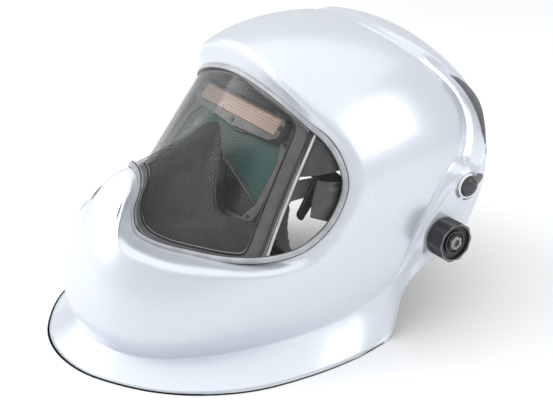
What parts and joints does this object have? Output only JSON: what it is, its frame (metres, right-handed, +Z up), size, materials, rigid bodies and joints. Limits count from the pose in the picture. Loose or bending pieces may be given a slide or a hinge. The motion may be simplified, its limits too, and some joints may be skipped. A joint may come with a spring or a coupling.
{
  "type": "welding helmet",
  "caption": "Welding helmet with a wrap-round clear cover lens, auto-darkening filter cassette, neck flange, side tension knobs and an adjustable inner headgear.",
  "frame": {"origin": "on the table, under the middle of the whole helmet", "axes": "+Z up, -Y towards the front of the helmet, +X towards the wearer's left; the helmet rests on the rim of its neck flange"},
  "size_m": [0.2646, 0.3717, 0.2296],
  "materials": {
    "shell_paint": "pearl silver-white gloss lacquer",
    "seal": "translucent grey soft lip",
    "clear_lens": "clear polycarbonate",
    "grey_plastic": "fine moulded grain",
    "black_plastic": "satin moulded",
    "filter_glass": "polished, green-teal",
    "solar_cell": "copper-brown, glossy",
    "circuit_board": "solder mask",
    "white_plastic": "gloss",
    "steel": "plated",
    "foam": "knitted cover over foam"
  },
  "bodies": {
    "shell": {"helmet_shell": "shell_paint", "window_seal": "seal", "cover_lens": "clear_lens", "lens_holder": "grey_plastic", "latch_bracket_right": "grey_plastic", "latch_bracket_left": "grey_plastic", "cassette_bezel": "black_plastic", "cassette_housing": "black_plastic", "filter_glass": "filter_glass", "solar_strip": "solar_cell", "light_sensor_left": "filter_glass", "light_sensor_right": "filter_glass", "light_sensor_centre": "filter_glass", "inner_cover_lens": "clear_lens", "control_board": "circuit_board", "button_ring": "white_plastic", "grind_switch": "grey_plastic"},
    "latch_left": {"cassette_latch_left": "black_plastic"},
    "latch_right": {"cassette_latch_right": "black_plastic"},
    "shade": {"shade_dial": "grey_plastic"},
    "sensitivity": {"sensitivity_dial": "grey_plastic"},
    "delay": {"delay_switch": "grey_plastic"},
    "button": {"grind_button": "black_plastic"},
    "knob_left": {"tension_knob_left": "black_plastic"},
    "knob_right": {"tension_knob_right": "black_plastic"},
    "pivots": {"hex_bolt_left": "steel", "hex_bolt_right": "steel", "friction_washer_left": "foam", "friction_washer_right": "foam", "tilt_disc_left": "grey_plastic", "tilt_disc_right": "grey_plastic", "pivot_carriage_left": "grey_plastic", "pivot_carriage_right": "grey_plastic"},
    "headgear": {"forehead_band": "black_plastic", "sweatband": "foam", "rear_strap_left": "black_plastic", "rear_strap_right": "black_plastic", "ratchet_housing": "black_plastic", "nape_pad": "foam", "crown_strap_left": "black_plastic", "crown_strap_right": "black_plastic", "crown_strap_long": "black_plastic", "crown_peg": "grey_plastic", "side_arm_left": "black_plastic", "side_arm_right": "black_plastic"},
    "ratchet": {"ratchet_knob": "grey_plastic"}
  },
  "joints": [
    {"name": "headgear_tilt", "type": "hinge", "parent": "shell", "child": "pivots", "pos_m": [0, 0.0854, 0.074], "axis": [1, 0, 0], "range_deg": [-70, 0]},
    {"name": "fore_aft_slide", "type": "slide", "parent": "pivots", "child": "headgear", "axis": [0, 0.7071, 0.7071], "range_m": [-0.008, 0.008]},
    {"name": "ratchet_turn", "type": "hinge", "parent": "headgear", "child": "ratchet", "pos_m": [0, 0.1662, 0.1548], "axis": [0, 0.7071, 0.7071], "continuous": true},
    {"name": "knob_left_turn", "type": "hinge", "parent": "shell", "child": "knob_left", "pos_m": [0.12, 0.0854, 0.074], "axis": [1, 0, 0], "range_deg": [-30, 330]},
    {"name": "knob_right_turn", "type": "hinge", "parent": "shell", "child": "knob_right", "pos_m": [-0.12, 0.0854, 0.074], "axis": [-1, 0, 0], "range_deg": [-30, 330]},
    {"name": "grind_button_press", "type": "slide", "parent": "shell", "child": "button", "axis": [-1, 0, 0], "range_m": [0, 0.003], "stiffness_N_per_m": 900},
    {"name": "shade_dial_turn", "type": "hinge", "parent": "shell", "child": "shade", "pos_m": [0.03, -0.00458, 0.15075], "axis": [0, 0.7809, -0.6247], "range_deg": [0, 270]},
    {"name": "sensitivity_dial_turn", "type": "hinge", "parent": "shell", "child": "sensitivity", "pos_m": [-0.03, -0.00458, 0.15075], "axis": [0, 0.7809, -0.6247], "range_deg": [0, 270]},
    {"name": "delay_switch_slide", "type": "slide", "parent": "shell", "child": "delay", "axis": [1, 0, 0], "range_m": [-0.004, 0.004]},
    {"name": "latch_left_swing", "type": "hinge", "parent": "shell", "child": "latch_left", "pos_m": [0.0867, -0.0126, 0.128], "axis": [1, 0, 0], "range_deg": [0, 60]},
    {"name": "latch_right_swing", "type": "hinge", "parent": "shell", "child": "latch_right", "pos_m": [-0.0867, -0.0126, 0.128], "axis": [1, 0, 0], "range_deg": [0, 60]}
  ]
}
